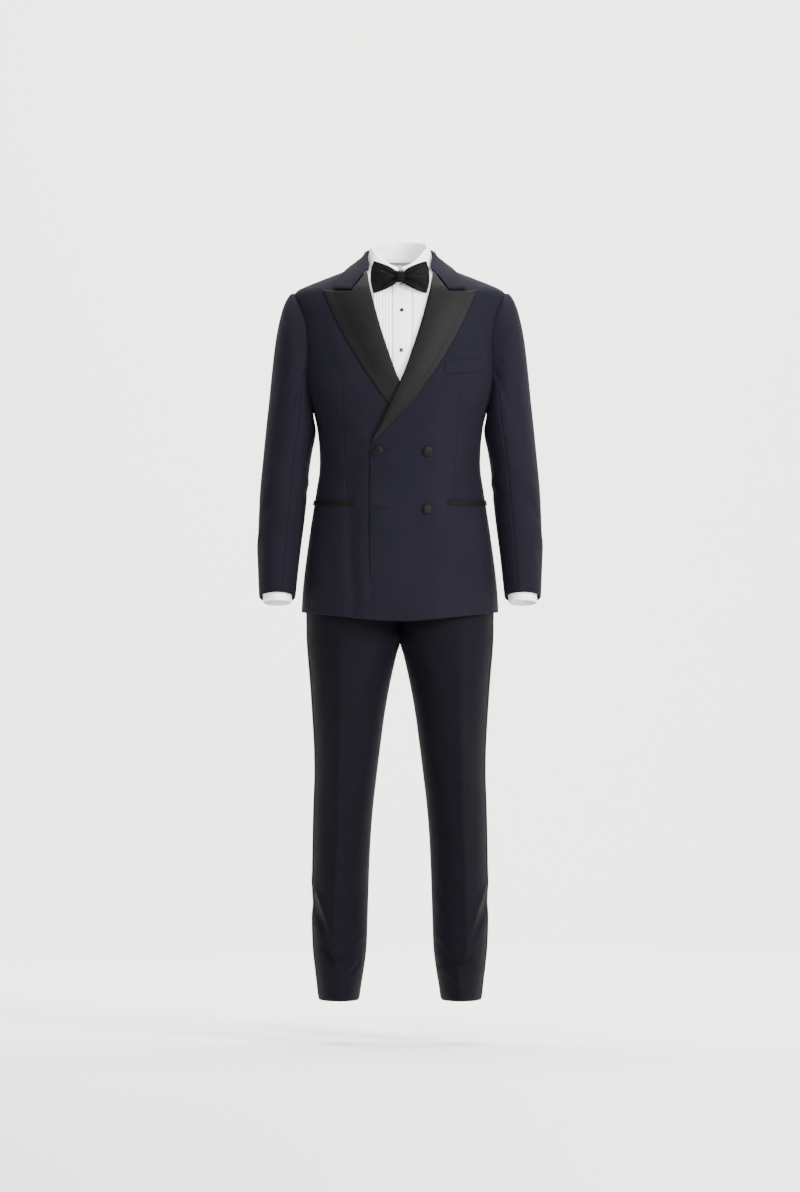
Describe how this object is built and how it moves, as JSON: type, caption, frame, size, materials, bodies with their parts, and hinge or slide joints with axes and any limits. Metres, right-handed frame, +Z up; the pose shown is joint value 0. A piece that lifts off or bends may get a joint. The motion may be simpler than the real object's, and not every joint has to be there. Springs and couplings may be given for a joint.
{
  "type": "tuxedo worn with dress shirt and bow tie",
  "caption": "Double-breasted peak-lapel evening jacket and creased trousers over a pleated dress shirt with bow tie, hollow and open at neck, cuffs and hems.",
  "frame": {"origin": "middle of the shoulders, between the neck points and level with the shoulder line, where the wearer holds the suit up", "axes": "+Z up along the standing suit, the front faces -Y, +X to the wearer's left"},
  "size_m": [0.571, 0.2678, 1.5241],
  "materials": {
    "navy_wool": "dark navy wool and mohair suiting, matte with a slight sheen",
    "trouser_wool": "dark navy wool suiting as the jacket, pressed with a crease",
    "satin": "black silk satin, soft gloss",
    "braid": "black satin ribbon, soft gloss",
    "cotton": "white cotton shirting, matte",
    "covered_button": "buttons covered in black satin",
    "onyx": "polished black stud faces"
  },
  "bodies": {
    "root": {"jacket_front_left": "navy_wool", "jacket_side_left": "navy_wool", "jacket_back_left": "navy_wool", "lapel_left": "satin", "sleeve_top_left": "navy_wool", "sleeve_under_left": "navy_wool", "pocket_jet_upper_left": "satin", "pocket_jet_lower_left": "satin", "cuff_button_left_1": "covered_button", "cuff_button_left_2": "covered_button", "cuff_button_left_3": "covered_button", "cuff_button_left_4": "covered_button", "trouser_front_left": "trouser_wool", "trouser_back_left": "trouser_wool", "side_braid_left": "braid", "shirt_front_left": "cotton", "shirt_bib_left": "cotton", "shirt_sleeve_left": "cotton", "shirt_cuff_left": "cotton", "bow_wing_left": "satin", "jacket_front_right": "navy_wool", "jacket_side_right": "navy_wool", "jacket_back_right": "navy_wool", "lapel_right": "satin", "sleeve_top_right": "navy_wool", "sleeve_under_right": "navy_wool", "pocket_jet_upper_right": "satin", "pocket_jet_lower_right": "satin", "cuff_button_right_1": "covered_button", "cuff_button_right_2": "covered_button", "cuff_button_right_3": "covered_button", "cuff_button_right_4": "covered_button", "trouser_front_right": "trouser_wool", "trouser_back_right": "trouser_wool", "side_braid_right": "braid", "shirt_front_right": "cotton", "shirt_bib_right": "cotton", "shirt_sleeve_right": "cotton", "shirt_cuff_right": "cotton", "bow_wing_right": "satin", "jacket_collar": "navy_wool", "breast_welt": "navy_wool", "button_fastened": "covered_button", "button_show_upper": "covered_button", "button_show_lower": "covered_button", "trouser_waistband": "trouser_wool", "shirt_back": "cotton", "shirt_placket": "cotton", "stud_upper": "onyx", "stud_lower": "onyx", "shirt_collar": "cotton", "bow_knot": "satin", "bow_band": "satin"}
  },
  "joints": []
}
